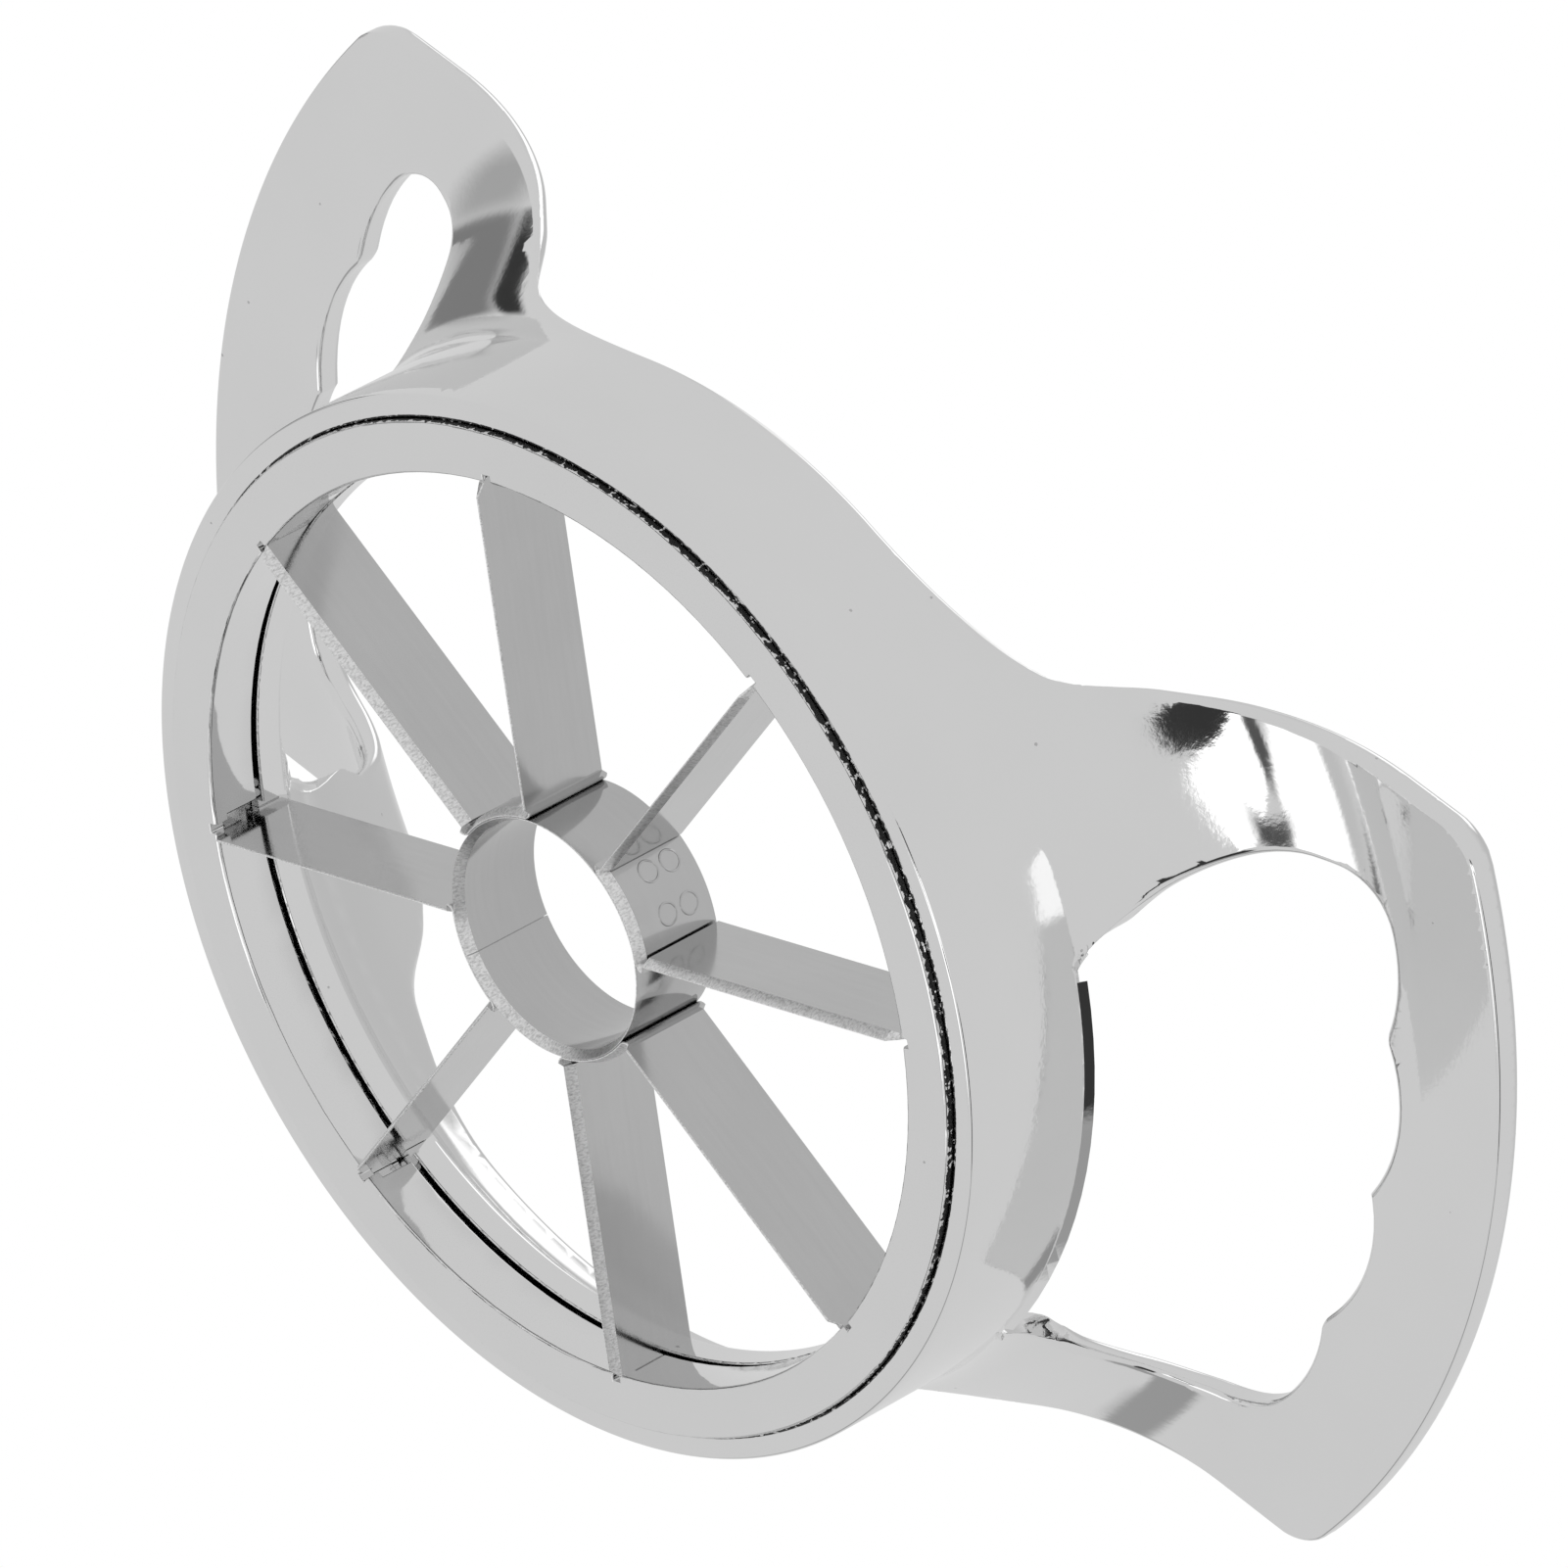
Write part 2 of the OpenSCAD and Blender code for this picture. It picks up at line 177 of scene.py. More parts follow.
mixed = add_node(tree, "ShaderNodeMixShader", -200, 0)
tree.links.new(clear, mixed.inputs[0])
tree.links.new(matt.outputs[0], mixed.inputs[1])
tree.links.new(glass.outputs[0], mixed.inputs[2])
tree.links.new(mixed.outputs[0], add_node(tree, "ShaderNodeOutputMaterial", 100, 0).inputs[0])
mesh.materials.append(paper)

# Two large soft lamps above give the floor its shadow; metal doesn't mirror them
for name, place, size, power in (("key_lamp", (-0.6, -0.9, 1.4), 1.2, 14),
                                 ("fill_lamp", (0.9, 0.7, 1.2), 1.4, 8)):
    data = bpy.data.lights.new(name, "AREA")
    data.size = size
    data.energy = power
    lamp = bpy.data.objects.new(name, data)
    lamp.location = place
    lamp.rotation_euler = (-lamp.location).to_track_quat("-Z", "Y").to_euler()
    lamp.visible_glossy = False
    bpy.context.scene.collection.objects.link(lamp)

# Body casting
# The ring wall, the two arms of each handle and its grip are one zinc die casting,
# polished and chromed. It is thick in wall and grips and thin in the arms, and all
# its edges are rounded, the rear ones most. Lengths are in millimetres up to the mesh.
bore_r, clamp_w, lip_w, groove_depth = 48.0, 5.4, 2.5, 3.0
lip_z, clamp_top, shelf_z, bore_top = 1.9, 6.9, 7.7, 10.9
wall_t, arm_t, arm_w, grip_end, arm_side = 3.3, 1.7, 11.9, 88.5, 45.9
rim_h, window_rim_h, window_rim_out, overhang_h = 19.1, 18.3, 0.6, 0.85
flare_z, lean, window_half_a = 17.1, math.radians(35), math.radians(26.5)
seat_r, groove_r = bore_r + clamp_w, bore_r + groove_depth
wall_r = seat_r + lip_w
window_rim_r, overhang_z = wall_r + window_rim_out, window_rim_h - overhang_h
# Bend radii of the arms and the straight between them follow from their reach
arm_reach = grip_end - wall_r
bend_low, bend_high, bend_rear = 0.46 * arm_reach, 0.552 * arm_reach, 0.614 * arm_reach
straight = 0.273 * arm_reach
low_x = wall_r + bend_low
high_x = low_x + straight * math.sin(lean) + (bend_high - bend_low) * math.cos(lean)
high_z = flare_z + straight * math.cos(lean) + (bend_low - bend_high) * math.sin(lean)
front_bends = (low_x, flare_z, bend_low, high_x, high_z, bend_high)
# The same on the rear skin, which lies an arm's thickness behind along the straight
behind = low_x * math.cos(lean) - flare_z * math.sin(lean) - bend_low - arm_t
rear_x = wall_r - wall_t + bend_rear
rear_z = (rear_x * math.cos(lean) - bend_rear - behind) / math.sin(lean)
upper_z = high_z + bend_high + wall_t - bend_rear
upper_x = (behind + bend_rear + upper_z * math.sin(lean)) / math.cos(lean)
rear_bends = (rear_x, rear_z, bend_rear, upper_x, upper_z, bend_rear)
# The rim is level for a share of the way to an arm's root and then sweeps up to it
rim_rise = 0.51 * bend_low
root_r = low_x - math.sqrt(bend_low ** 2 - (rim_h + rim_rise - flare_z) ** 2)
root_x = math.sqrt(root_r ** 2 - arm_side ** 2)
rim_flat = 0.41 * root_x
rim_sweep = ((root_x - rim_flat) ** 2 + rim_rise ** 2) / (2 * rim_rise)


def round_off(a, b, radius):
    """Inside both limits, with their common edge rounded."""
    return (np.minimum(np.maximum(a, b), -radius)
            + np.hypot(np.maximum(a + radius, 0), np.maximum(b + radius, 0)))


def fillet(a, b, radius):
    """Inside either limit, with the corner between them filled to a hollow."""
    return -round_off(-a, -b, radius)


def ease(value, start, end):
    share = np.clip((value - start) / (end - start), 0, 1)
    return share * share * (3 - 2 * share)


def flare(r, z, bends, broad=120.0):
    """Distance in front of a skin that runs up the wall, over two bends and out level."""
    low_x, low_z, low_bend, high_x, high_z, high_bend = bends
    # the centre of the broad arc that joins the bends
    apart = math.hypot(high_x - low_x, high_z - low_z)
    c, s = (high_x - low_x) / apart, (high_z - low_z) / apart
    along = ((broad - low_bend) ** 2 - (broad - high_bend) ** 2 + apart ** 2) / (2 * apart)
    aside = math.sqrt((broad - low_bend) ** 2 - along ** 2)
    x, y = low_x + along * c + aside * s, low_z + along * s - aside * c
    past_low = (r - low_x) * (low_z - y) - (z - low_z) * (low_x - x)
    past_high = (r - high_x) * (high_z - y) - (z - high_z) * (high_x - x)
    return np.select(
        [z < low_z, past_low < 0, past_high < 0, r < high_x],
        [r - low_x + low_bend,
         low_bend - np.hypot(r - low_x, z - low_z),
         broad - np.hypot(r - x, z - y),
         high_bend - np.hypot(r - high_x, z - high_z)],
        high_z + high_bend - z)


# A window's plan: four scallops from side to side, with the corners beyond them
window_half, window_x = arm_side - arm_w, wall_r * math.cos(window_half_a)
window_in, window_out, scallop_r = 0.3 * window_half, 0.236 * window_half, 0.582 * window_half
scallop_arc = grip_end - 0.396 * arm_reach - scallop_r
scallop_y = 0.6 * window_half
scallop_a = math.asin(scallop_y / scallop_arc)
scallop_x = scallop_arc * math.cos(scallop_a)
out_a = math.asin((window_half - window_out - scallop_y) / (scallop_r - window_out))
out_x = scallop_x + (scallop_r - window_out) * math.cos(out_a)


def window(x, y):
    """Distance outside a finger window's plan, for x and y counted from the middle."""
    y_in, y_out = window_half - window_in, window_half - window_out
    corner = window_x + window_in
    disc = [np.hypot(x - corner, y - y_in) - window_in,
            np.hypot(x - out_x, y - y_out) - window_out,
            np.maximum(np.maximum(corner - x, x - out_x), y - window_half),
            np.maximum(np.maximum(window_x - x, x - out_x), y - y_in)]
    wedge = (y - scallop_y) * math.cos(out_a) - (x - scallop_x) * math.sin(out_a)
    scallops = []
    for angle in (scallop_a / 3, scallop_a):
        bite = np.hypot(x - scallop_arc * math.cos(angle), y - scallop_arc * math.sin(angle))
        scallops.append(np.maximum(np.maximum(bite - scallop_r, window_x - x), wedge))
    scallop = fillet(scallops[0], scallops[1], 0.8)
    return np.minimum(np.minimum.reduce(disc), scallop)


funnel_end = 60.0


def casting(x, y, z):
    """Distance outside the casting, below zero in the metal."""
    x, y = np.abs(x), np.abs(y)
    r = np.hypot(x, y)
    turn = np.arctan2(y, x)
    # front skin, with a small overhang along the rim under a window
    front = flare(r, z, front_bends)
    lip = (r - wall_r) * overhang_h - (z - overhang_z) * window_rim_out
    lip /= math.hypot(overhang_h, window_rim_out)
    lip += 2 * ease(turn, window_half_a - 0.01, window_half_a)
    front = fillet(front, np.maximum(lip, z - window_rim_h - 0.5), 0.1)
    # rear skin, down to the funnel that the bore opens into
    slope = (window_rim_h - bore_top) / (window_rim_r - bore_r)
    funnel = (z - bore_top - (r - bore_r) * slope) / math.hypot(1, slope)
    rear = -flare(r, z, rear_bends)
    rear = fillet(rear, np.maximum(funnel, r - funnel_end), 1.5)
    # outline: the rim and its sweeps up to the arms, the arms' sides and the grip's end
    along = np.clip(x, rim_flat, root_x + 6) - rim_flat
    drop = np.sqrt(rim_sweep ** 2 - along ** 2)
    rim = (z - rim_h - rim_sweep + drop) * drop / rim_sweep
    rim += (y - arm_side - rim) * ease(x, root_x - 5, root_x + 5)
    outline = round_off(rim, r - grip_end, 3.0)
    # the hole of a finger window, with hollow corners where the rim runs up to an arm
    beside = (y * math.cos(window_half_a) - x * math.sin(window_half_a))
    plan = fillet(window(x, y), np.maximum(beside, r - window_rim_r), 1.0)
    hole = -round_off(plan, -funnel, 3.5)
    # the edges: the front ones tighter, the rear ones so round that at an arm's root
    # they take up the whole thickness
    shell = np.maximum(round_off(front, outline, 0.45 + 0.45 * ease(x, 46, 30)),
                       round_off(rear, outline, 1.3 + 0.7 * ease(x, 30, 36) * ease(x, 62, 42)))
    shell = round_off(shell, hole, 0.12 + 0.68 * ease(r, window_rim_r + 0.8, funnel_end))
    # lip, seat of the retaining ring, shadow groove and bore
    shell = round_off(shell, lip_z - z, 0.4)
    seat = np.minimum(seat_r - r, clamp_top - z)
    shell = round_off(shell, seat, 0.45)
    shell = round_off(shell, np.minimum(groove_r - r, shelf_z - z), 0.1)
    return round_off(shell, bore_r - r, 0.25)


def slope_of(distance, p, reach=0.02):
    return np.stack([distance(*(p + reach * e).T) - distance(*(p - reach * e).T)
                     for e in np.eye(3)], 1) / (2 * reach)


def split_where(points, faces, bend):
    """Splits the triangles at the edges over which the normals bend more than that."""
    sides = np.concatenate([faces[:, [n, (n + 1) % 3]] for n in range(3)])
    sides.sort(axis=1)
    edges, which = np.unique(sides, axis=0, return_inverse=True)
    marked = bend(edges)
    middle = np.full(len(edges), -1)
    middle[marked] = len(points) + np.arange(marked.sum())
    points = np.concatenate([points, points[edges[marked]].mean(axis=1)])
    mids = middle[which.reshape(3, -1).T]
    kept = [faces[(mids < 0).all(axis=1)]]
    for turn in range(3):
        a, b, c = (faces[:, (turn + n) % 3] for n in range(3))
        ab, bc, ca = (mids[:, (turn + n) % 3] for n in range(3))
        one = (ab >= 0) & (bc < 0) & (ca < 0)
        kept += [np.stack(t, 1)[one] for t in ((a, ab, c), (ab, b, c))]
        two = (ab >= 0) & (bc >= 0) & (ca < 0)
        kept += [np.stack(t, 1)[two] for t in ((ab, b, bc), (a, ab, bc), (a, bc, c))]
    every = (mids >= 0).all(axis=1)
    (a, b, c), (ab, bc, ca) = faces[every].T, mids[every].T
    kept += [np.stack(t, 1) for t in ((a, ab, ca), (ab, b, bc), (ca, bc, c), (ab, bc, ca))]
    return points, np.concatenate(kept)


def fitted(node, name, distance, kept, longest, finer):
    """A CAD part's mesh cut finer and moved onto a surface with rounded edges.

    Points for which kept() holds stay where they are, with sharp edges between the
    faces there."""
    work = bmesh.new()
    work.from_mesh(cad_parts[node].data)
    bmesh.ops.remove_doubles(work, verts=work.verts, dist=2e-6)
    bmesh.ops.triangulate(work, faces=work.faces)
    points = np.array([v.co[:] for v in work.verts]) * 1000
    faces = np.array([[v.index for v in face.verts] for face in work.faces])
    work.free()

    def settle():
        p = points
        for _ in range(4):
            g = slope_of(distance, p)
            move = (distance(*p.T) / np.maximum((g * g).sum(1), 0.2))[:, None] * g
            p = p - move / np.maximum(np.linalg.norm(move, axis=1, keepdims=True) / 0.5, 1)
        return np.where(kept(*points.T)[:, None], points, p)

    def normals():
        g = slope_of(distance, points)
        return g / np.linalg.norm(g, axis=1, keepdims=True)

    for _ in range(7):
        points, faces = split_where(points, faces, lambda e: (
            np.linalg.norm(points[e[:, 0]] - points[e[:, 1]], axis=1) > longest))
    points = settle()
    for limit in finer:
        bend = normals()
        points, faces = split_where(points, faces, lambda e: (
            (bend[e[:, 0]] * bend[e[:, 1]]).sum(1) < math.cos(math.radians(limit))))
        points = settle()
    mesh = bpy.data.meshes.new(name)
    mesh.from_pydata(points / 1000, [], faces)
    mesh.shade_smooth()
    a, b, c = points[faces].transpose(1, 0, 2)
    flat = np.cross(b - a, c - a)
    flat /= np.maximum(np.linalg.norm(flat, axis=1, keepdims=True), 1e-12)
    corner = normals()[faces]
    still = kept(*points.T)[faces].any(axis=1)
    corner[still] = flat[still][:, None]
    # kept faces that look straight at the axis, or away from it, are parts of round forms
    out = points[faces][:, :, :2]
    out = out / np.linalg.norm(out, axis=2, keepdims=True)
    facing = (out * flat[:, None, :2]).sum(axis=2)
    level = np.linalg.norm(flat[:, :2], axis=1)[:, None]
    turned = np.concatenate([out * (np.sign(facing) * level)[:, :, None],
                             np.repeat(flat[:, None, 2:], 3, axis=1)], axis=2)
    still &= (np.abs(facing) > 0.99 * level).all(axis=1)
    corner[still] = turned[still]
    mesh.normals_split_custom_set(corner.reshape(-1, 3))
    piece = bpy.data.objects.new(name, mesh)
    bpy.context.scene.collection.objects.link(piece)
    return piece


def stays_sharp(x, y, z):
    """Slots for the blades' ends in the bore, and the thin lip along a window's rim."""
    r, turn = np.hypot(x, y), np.arctan2(np.abs(y), np.abs(x))
    slot = (r < bore_r + 1.6) & (z > clamp_top + 0.1) & (casting(x, y, z) < -0.06)
    lip = (z > overhang_z - 0.15) & (r > wall_r - 0.9) & (r < window_rim_r + 0.9)
    return slot | lip & (turn < window_half_a - 0.012)


body = fitted("body", "casting", casting, stays_sharp, 2.2, (18, 20, 26))


# Polished plate: faint ripple of the metal beneath, polishing marks, small pits, and painted shade in a
# thin dark band along the joint between ring and casting
plate = bpy.data.node_groups.new("polished_plate", "ShaderNodeTree")
for name in ("Tone", "Roughness", "Grit", "Shaded joint radius"):
    plate.interface.new_socket(name, in_out="INPUT", socket_type="NodeSocketFloat")
for name, kind in (("Color", "NodeSocketColor"), ("Roughness", "NodeSocketFloat"),
                   ("Normal", "NodeSocketVector")):
    plate.interface.new_socket(name, in_out="OUTPUT", socket_type=kind)
inside = add_node(plate, "NodeGroupInput", -1400, 300).outputs
place = add_node(plate, "ShaderNodeTexCoord", -1400, -100).outputs["Object"]


def noise_at(tree, place, x, y, scale, detail, rough=0.5, stretch=None):
    """Noise in metres of the object, if wished drawn out along the cutting plane."""
    if stretch is not None:
        squeeze = add_node(tree, "ShaderNodeVectorMath", x - 200, y, operation="MULTIPLY")
        tree.links.new(place, squeeze.inputs[0])
        squeeze.inputs[1].default_value = stretch
        place = squeeze.outputs[0]
    node = add_node(tree, "ShaderNodeTexNoise", x, y)
    tree.links.new(place, node.inputs["Vector"])
    for name, value in (("Scale", scale), ("Detail", detail), ("Roughness", rough)):
        node.inputs[name].default_value = value
    return node.outputs["Fac"]


cloud = noise_at(plate, place, -1000, 300, 45, 3)
haze = noise_at(plate, place, -1000, 0, 160, 5, 0.6)
grain = noise_at(plate, place, -1000, -300, 1500, 3, 0.55)
ripple = noise_at(plate, place, -1000, -600, 240, 2)
spots = add_node(plate, "ShaderNodeTexVoronoi", -1000, -900)
plate.links.new(place, spots.inputs["Vector"])
spots.inputs["Scale"].default_value = 420
pits = math_node(plate, "LESS_THAN", -800, -900, spots.outputs["Distance"], 0.07)
chance = add_node(plate, "ShaderNodeSeparateColor", -800, -1050)
plate.links.new(spots.outputs["Color"], chance.inputs[0])
pits = math_node(plate, "MULTIPLY", -600, -900, pits, math_node(
    plate, "LESS_THAN", -600, -1050, chance.outputs[0], 0.06))
tone = math_node(plate, "MULTIPLY_ADD", -600, 300, cloud, 0.05, math_node(
    plate, "SUBTRACT", -800, 450, inside["Tone"], 0.025))
tone = math_node(plate, "MULTIPLY_ADD", -400, 300, pits, -0.25, tone, clamp=True)
# the joint between ring and casting is open; painted shade darkens a thin band along it below 7.2 mm,
# its edge made ragged by grain
where = add_node(plate, "ShaderNodeSeparateXYZ", -1200, 700)
plate.links.new(place, where.inputs[0])
from_axis = math_node(plate, "SQRT", -800, 700, math_node(
    plate, "MULTIPLY_ADD", -900, 700, where.outputs[0], where.outputs[0], math_node(
        plate, "MULTIPLY", -1000, 700, where.outputs[1], where.outputs[1])))
joint_shade = math_node(plate, "MULTIPLY_ADD", -600, 700, grain, 0.0004, math_node(
    plate, "ABSOLUTE", -600, 850, math_node(
        plate, "SUBTRACT", -700, 850, from_axis, inside["Shaded joint radius"])))
joint_shade = math_node(plate, "MULTIPLY", -400, 700, math_node(
    plate, "LESS_THAN", -500, 700, joint_shade, 0.00025), math_node(
    plate, "LESS_THAN", -500, 850, where.outputs[2], 0.0072))
# painted shade: the joint band is taken off the tone
tone = math_node(plate, "MULTIPLY_ADD", -300, 500, joint_shade, -0.78, tone, clamp=True)
colour = add_node(plate, "ShaderNodeCombineColor", -200, 300)
for socket in colour.inputs[:3]:
    plate.links.new(tone, socket)
rough = math_node(plate, "MULTIPLY_ADD", -400, 0, haze, 0.09, math_node(
    plate, "SUBTRACT", -600, 100, inside["Roughness"], 0.045))
rough = math_node(plate, "MULTIPLY_ADD", -200, 0, math_node(
    plate, "MAXIMUM", -300, -100, pits, joint_shade), 0.3, rough, clamp=True)
height = math_node(plate, "MULTIPLY_ADD", -500, -400, grain, inside["Grit"], math_node(
    plate, "MULTIPLY", -600, -600, ripple, 3.0))
height = math_node(plate, "MULTIPLY_ADD", -350, -400, pits, -6.0, height)
bump = add_node(plate, "ShaderNodeBump", -200, -400)
bump.inputs["Strength"].default_value = 1
bump.inputs["Distance"].default_value = 0.0000012
plate.links.new(height, bump.inputs["Height"])
out = add_node(plate, "NodeGroupOutput", 0, 0)
plate.links.new(colour.outputs[0], out.inputs["Color"])
plate.links.new(rough, out.inputs["Roughness"])
plate.links.new(bump.outputs[0], out.inputs["Normal"])


def metal(name, group, values):
    """A metal whose colour, roughness and normal come from a group's outputs."""
    material = bpy.data.materials.new(name)
    material.use_nodes = True
    tree = material.node_tree
    shader = tree.nodes["Principled BSDF"]
    shader.inputs["Metallic"].default_value = 1
    detail = add_node(tree, "ShaderNodeGroup", -300, 200, node_tree=group)
    for key, value in values.items():
        detail.inputs[key].default_value = value
    tree.links.new(detail.outputs["Color"], shader.inputs["Base Color"])
    tree.links.new(detail.outputs["Roughness"], shader.inputs["Roughness"])
    tree.links.new(detail.outputs["Normal"], shader.inputs["Normal"])
    return material


# the joint radius places the band of painted shade, 53.4 mm from the axis
body.data.materials.append(metal("casting_chrome", plate, {
    "Tone": 0.83, "Roughness": 0.05, "Grit": 4.0, "Shaded joint radius": 0.0534}))
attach(body, "root")
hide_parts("body")

# Retaining ring
# A chromed ring pressed into the casting's seat, with a slit for each blade's end and
# a wider notch behind it. It clamps the blades' tabs and leaves a shadow gap behind.
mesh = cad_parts["retaining_ring"].data.copy()
mesh.name = "retaining_ring_plated"
mesh.materials.clear()
work = bmesh.new()
work.from_mesh(mesh)
bmesh.ops.remove_doubles(work, verts=work.verts, dist=1e-6)
bmesh.ops.dissolve_limit(work, angle_limit=math.radians(0.5), verts=work.verts, edges=work.edges)
work.to_mesh(mesh)
work.free()
ring = bpy.data.objects.new("retaining_ring_plated", mesh)
bpy.context.scene.collection.objects.link(ring)
soft = ring.modifiers.new("edges", "BEVEL")
soft.width = 0.00025
soft.segments = 3
soft.limit_method = "ANGLE"
soft.angle_limit = math.radians(40)
soft.harden_normals = True
evaluated = ring.evaluated_get(bpy.context.evaluated_depsgraph_get())
smooth = bpy.data.meshes.new_from_object(evaluated)
ring.modifiers.clear()
ring.data = smooth
# the same band of painted shade at the joint radius
ring.data.materials.append(metal("ring_chrome_plate", plate, {
    "Tone": 0.82, "Roughness": 0.08, "Grit": 3.0, "Shaded joint radius": 0.0534}))
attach(ring, "root")
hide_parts("retaining_ring")

# Coring tube
# A stainless strip rolled to a tube, its ends meeting in an open butt seam, and
# ground sharp on the inside of its front edge.


def strip_mesh(name, stations):
    """A closed strip through equal rings of points, in metres."""
    count = len(stations[0])
    points = [p for ring in stations for p in ring]
    faces = [list(range(count))[::-1], [len(points) - count + n for n in range(count)]]
    for k in range(len(stations) - 1):
        for n in range(count):
            a, b = k * count + n, k * count + (n + 1) % count
            faces.append([a, b, b + count, a + count])
    mesh = bpy.data.meshes.new(name)
    mesh.from_pydata([[c / 1000 for c in p] for p in points], [], faces)
    work = bmesh.new()
    work.from_mesh(mesh)
    bmesh.ops.remove_doubles(work, verts=work.verts, dist=1e-7)
    bmesh.ops.recalc_face_normals(work, faces=work.faces)
    work.to_mesh(mesh)
    work.free()
    mesh.shade_smooth()
    mesh.set_sharp_from_angle(angle=math.radians(20))
    return mesh


tube_r, tube_t, strip_h = 12.75, 0.7, 10.7
seam = math.radians(136.2)
section = [(tube_r - 0.1, 0.0), (tube_r - 0.03, 0.04), (tube_r, 0.15), (tube_r, strip_h - 0.08),
           (tube_r - 0.08, strip_h), (tube_r - tube_t + 0.08, strip_h),
           (tube_r - tube_t, strip_h - 0.08), (tube_r - tube_t, 1.1)]
stations = []
for step in range(181):
    turn = seam + 0.0048 + (2 * math.pi - 0.0096) * step / 180
    stations.append([(r * math.cos(turn), r * math.sin(turn), z) for r, z in section])
tube = bpy.data.objects.new("coring_tube", strip_mesh("coring_tube", stations))
bpy.context.scene.collection.objects.link(tube)
# Rolled steel: streaks along the strip, a soft cast of colour, and the ground bevel,
# which faces the front edge and is bright and coarse
rolled = bpy.data.node_groups.new("rolled_steel", "ShaderNodeTree")
for name in ("Tone", "Roughness", "Bevel height"):
    rolled.interface.new_socket(name, in_out="INPUT", socket_type="NodeSocketFloat")
for name, kind in (("Color", "NodeSocketColor"), ("Roughness", "NodeSocketFloat"),
                   ("Normal", "NodeSocketVector")):
    rolled.interface.new_socket(name, in_out="OUTPUT", socket_type=kind)
inside = add_node(rolled, "NodeGroupInput", -1400, 300).outputs
spot = add_node(rolled, "ShaderNodeTexCoord", -1400, -100)
place, facing = spot.outputs["Object"], spot.outputs["Normal"]
cloud = noise_at(rolled, place, -1000, 300, 60, 3)
streak = noise_at(rolled, place, -1000, 0, 1600, 3, 0.6, (0.05, 0.05, 1.0))
scuff = noise_at(rolled, place, -1000, -300, 420, 5, 0.65)
grind = noise_at(rolled, place, -1000, -600, 5200, 2, 0.5, (1.0, 1.0, 0.35))
where = add_node(rolled, "ShaderNodeSeparateXYZ", -1200, -900)
rolled.links.new(place, where.inputs[0])
turned = add_node(rolled, "ShaderNodeSeparateXYZ", -1200, -1050)
rolled.links.new(facing, turned.inputs[0])
ground = math_node(rolled, "MULTIPLY", -800, -900, math_node(
    rolled, "LESS_THAN", -1000, -900, where.outputs[2], inside["Bevel height"]), math_node(
    rolled, "LESS_THAN", -1000, -1050, turned.outputs[2], -0.2))
tone = math_node(rolled, "MULTIPLY_ADD", -700, 300, cloud, 0.08, math_node(
    rolled, "SUBTRACT", -900, 450, inside["Tone"], 0.04))
tone = math_node(rolled, "MULTIPLY_ADD", -550, 300, streak, 0.04, tone)
tone = math_node(rolled, "MULTIPLY_ADD", -400, 300, ground, math_node(
    rolled, "MULTIPLY_ADD", -550, 100, grind, 1.1, -0.24), tone, clamp=True)
colour = add_node(rolled, "ShaderNodeCombineColor", -200, 300)
for socket in colour.inputs[:3]:
    rolled.links.new(tone, socket)
rough = math_node(rolled, "MULTIPLY_ADD", -600, -100, scuff, 0.10, math_node(
    rolled, "SUBTRACT", -800, 0, inside["Roughness"], 0.05))
rough = math_node(rolled, "MULTIPLY_ADD", -400, -100, ground, 0.22, rough, clamp=True)
height = math_node(rolled, "MULTIPLY_ADD", -500, -400, streak, 1.2, math_node(
    rolled, "MULTIPLY", -700, -400, scuff, 0.9))
height = math_node(rolled, "MULTIPLY_ADD", -350, -400, math_node(
    rolled, "MULTIPLY", -500, -600, grind, ground), 9.0, height)
bump = add_node(rolled, "ShaderNodeBump", -200, -400)
bump.inputs["Strength"].default_value = 1
bump.inputs["Distance"].default_value = 0.0000015
rolled.links.new(height, bump.inputs["Height"])
out = add_node(rolled, "NodeGroupOutput", 0, 0)
rolled.links.new(colour.outputs[0], out.inputs["Color"])
rolled.links.new(rough, out.inputs["Roughness"])
rolled.links.new(bump.outputs[0], out.inputs["Normal"])
tube.data.materials.append(metal("tube_steel", rolled, {
    "Tone": 0.53, "Roughness": 0.11, "Bevel height": 0.00112}))
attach(tube, "root")
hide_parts("core_tube")

# Blade strips
# Four stainless strips, each bent to a V round the tube: two blades and, between them,
# a wrap that is spot-welded to the tube. Front edges are ground to a bevel on the
# inside of the V, and each blade's front outer corner is cut off.
blade_t, bevel_h, bend_r = 0.7, 1.1, 1.0
centre_r = tube_r + bend_r
bend_x = math.sqrt(centre_r ** 2 - (bend_r - blade_t) ** 2)
bend_a = math.atan((bend_r - blade_t) / bend_x)
reach = bore_r - bend_x
profile = [(0, 0.15), (0.05, 0.03), (0.09, 0), (0.16, 0), (0.2, 0.06), (blade_t, bevel_h),
           (blade_t, strip_h - 0.08), (blade_t - 0.08, strip_h), (0.08, strip_h), (0, strip_h - 0.08)]
# along one half: (distance along the blade, lowest z, highest z), from the tab inwards
ends = [(reach + 2.6, 2.95, 7.65), (reach + 0.6, 2.95, 7.65), (reach + 0.6, 1.7, strip_h),
        (reach, 1.1, strip_h), (reach - 1.1, 0, strip_h)]
ends += [(reach * n / 10, 0, strip_h) for n in range(9, -1, -1)]
turn_in = math.pi / 8
stations = []
for along, lowest, highest in ends:
    # a blade's back lies on the plane that holds the tube's axis
    x = bend_x + along
    stations.append([(x * math.cos(turn_in) + t * math.sin(turn_in),
                      t * math.cos(turn_in) - x * math.sin(turn_in),
                      min(max(z, lowest), highest)) for t, z in profile])
middle_a = -turn_in + bend_a
middle = (centre_r * math.cos(middle_a), centre_r * math.sin(middle_a))
for step in range(1, 9):
    turn = math.radians(270) - turn_in - (math.pi / 2 - bend_a) * step / 8
    stations.append([(middle[0] + (bend_r - t) * math.cos(turn),
                      middle[1] + (bend_r - t) * math.sin(turn), z) for t, z in profile])
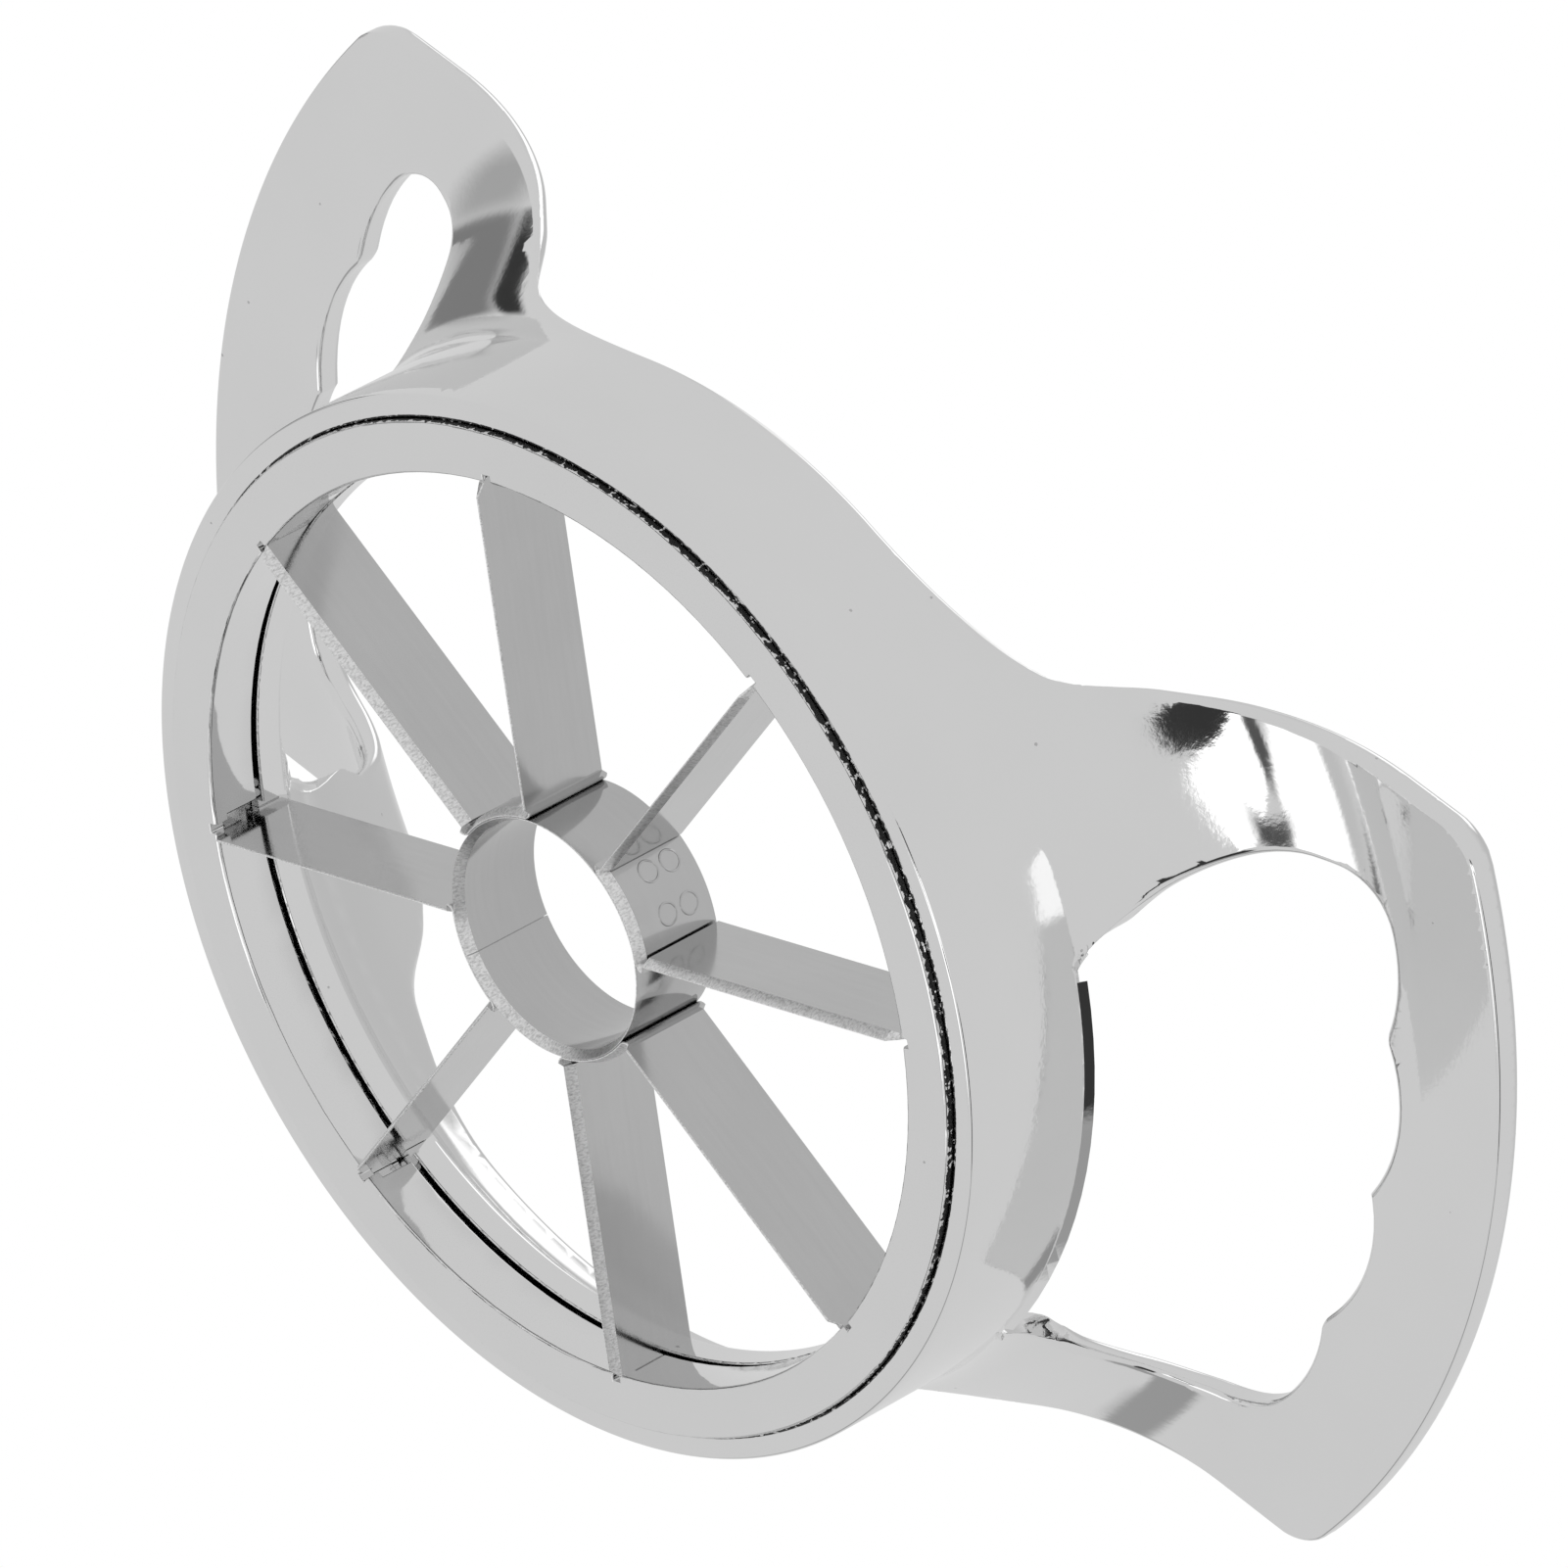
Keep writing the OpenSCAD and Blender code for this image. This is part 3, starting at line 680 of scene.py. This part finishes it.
for step in range(1, 10):
    turn = middle_a * (1 - step / 10)
    stations.append([((tube_r + t) * math.cos(turn), (tube_r + t) * math.sin(turn), z)
                     for t, z in profile])
stations += [[((tube_r + t), 0, z) for t, z in profile]]
stations += [[(x, -y, z) for x, y, z in ring_points] for ring_points in stations[-2::-1]]
strip = strip_mesh("blade_strip", stations)


def group_input(tree, name, kind, value):
    socket = tree.interface.new_socket(name, in_out="INPUT", socket_type=kind)
    if value is not None:
        socket.default_value = value
    return socket.identifier


# The four strips: one V turned about the slicer's axis in equal steps
around = bpy.data.node_groups.new("strips_round_the_tube", "GeometryNodeTree")
group_input(around, "Strip", "NodeSocketGeometry", None)
sockets = {name: group_input(around, name, kind, value) for name, kind, value in (
    ("Strips", "NodeSocketInt", 4), ("First turn", "NodeSocketFloat", 0.0),
    ("Steel", "NodeSocketMaterial", None))}
around.interface.new_socket("Mesh", in_out="OUTPUT", socket_type="NodeSocketGeometry")
given = add_node(around, "NodeGroupInput", -900, 0).outputs
spots = add_node(around, "GeometryNodeMeshLine", -600, 200, mode="OFFSET")
around.links.new(given["Strips"], spots.inputs["Count"])
spots.inputs["Offset"].default_value = (0, 0, 0)
number = add_node(around, "GeometryNodeInputIndex", -900, -200)
share = math_node(around, "DIVIDE", -700, -200, number.outputs[0], given["Strips"])
turned = math_node(around, "MULTIPLY_ADD", -500, -200, share, 2 * math.pi, given["First turn"])
euler = add_node(around, "ShaderNodeCombineXYZ", -300, -200)
around.links.new(turned, euler.inputs["Z"])
copies = add_node(around, "GeometryNodeInstanceOnPoints", -100, 0)
around.links.new(spots.outputs[0], copies.inputs["Points"])
around.links.new(given["Strip"], copies.inputs["Instance"])
around.links.new(euler.outputs[0], copies.inputs["Rotation"])
real = add_node(around, "GeometryNodeRealizeInstances", 100, 0)
around.links.new(copies.outputs[0], real.inputs[0])
steel = add_node(around, "GeometryNodeSetMaterial", 300, 0)
around.links.new(real.outputs[0], steel.inputs["Geometry"])
around.links.new(given["Steel"], steel.inputs["Material"])
around.links.new(steel.outputs[0], add_node(around, "NodeGroupOutput", 500, 0).inputs[0])


def grown(name, mesh, tree, values):
    """The plain mesh that a tree makes from a mesh, as a piece of its own."""
    seed = bpy.data.objects.new(name + "_seed", mesh)
    bpy.context.scene.collection.objects.link(seed)
    modifier = seed.modifiers.new("grow", "NODES")
    modifier.node_group = tree
    for identifier, value in values.items():
        modifier[identifier] = value
    depsgraph = bpy.context.evaluated_depsgraph_get()
    result = bpy.data.meshes.new_from_object(seed.evaluated_get(depsgraph))
    bpy.data.objects.remove(seed)
    result.name = name
    piece = bpy.data.objects.new(name, result)
    bpy.context.scene.collection.objects.link(piece)
    return piece


blade_steel = metal("blade_steel", rolled, {
    "Tone": 0.56, "Roughness": 0.12, "Bevel height": 0.00112})
blades = grown("blade_strips", strip, around, {
    sockets["Strips"]: 4, sockets["First turn"]: math.pi / 4, sockets["Steel"]: blade_steel})
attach(blades, "root")
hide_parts("blade_strip_1", "blade_strip_2", "blade_strip_3", "blade_strip_4")

# Spot welds
# Each strip's wrap is joined to the tube by four spot welds. Each leaves a shallow
# round mark with a raised rim where the electrode pressed.
mark_r, bead_w, bead_h = 1.12, 0.11, 0.045
mark_turns, mark_heights = (-12.5, 7.0), (5.0, 7.9)
mark_steps, bead_sides = 36, 8
wrap_r = tube_r + blade_t
points = []
for middle_turn in mark_turns:
    for height in mark_heights:
        for step in range(mark_steps * bead_sides):
            turn = 2 * math.pi * (step // bead_sides) / mark_steps
            lift = 2 * math.pi * (step % bead_sides) / bead_sides
            width = mark_r + bead_w * math.cos(lift)
            up = wrap_r + bead_h * math.sin(lift)
            angle = math.radians(middle_turn) + width * math.cos(turn) / wrap_r
            points.append((up * math.cos(angle) / 1000, up * math.sin(angle) / 1000,
                           (height + width * math.sin(turn)) / 1000))
faces = []
for mark in range(len(mark_turns) * len(mark_heights)):
    for k in range(mark_steps):
        here, there = ((mark * mark_steps + step % mark_steps) * bead_sides for step in (k, k + 1))
        for n in range(bead_sides):
            beside = (n + 1) % bead_sides
            faces.append((here + n, here + beside, there + beside, there + n))
marks = bpy.data.meshes.new("weld_marks")
marks.from_pydata(points, [], faces)
marks.shade_smooth()
work = bmesh.new()
work.from_mesh(marks)
bmesh.ops.recalc_face_normals(work, faces=work.faces)
work.to_mesh(marks)
work.free()
welds = grown("spot_welds", marks, around, {
    sockets["Strips"]: 4, sockets["First turn"]: math.pi / 4, sockets["Steel"]: blade_steel})
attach(welds, "root")
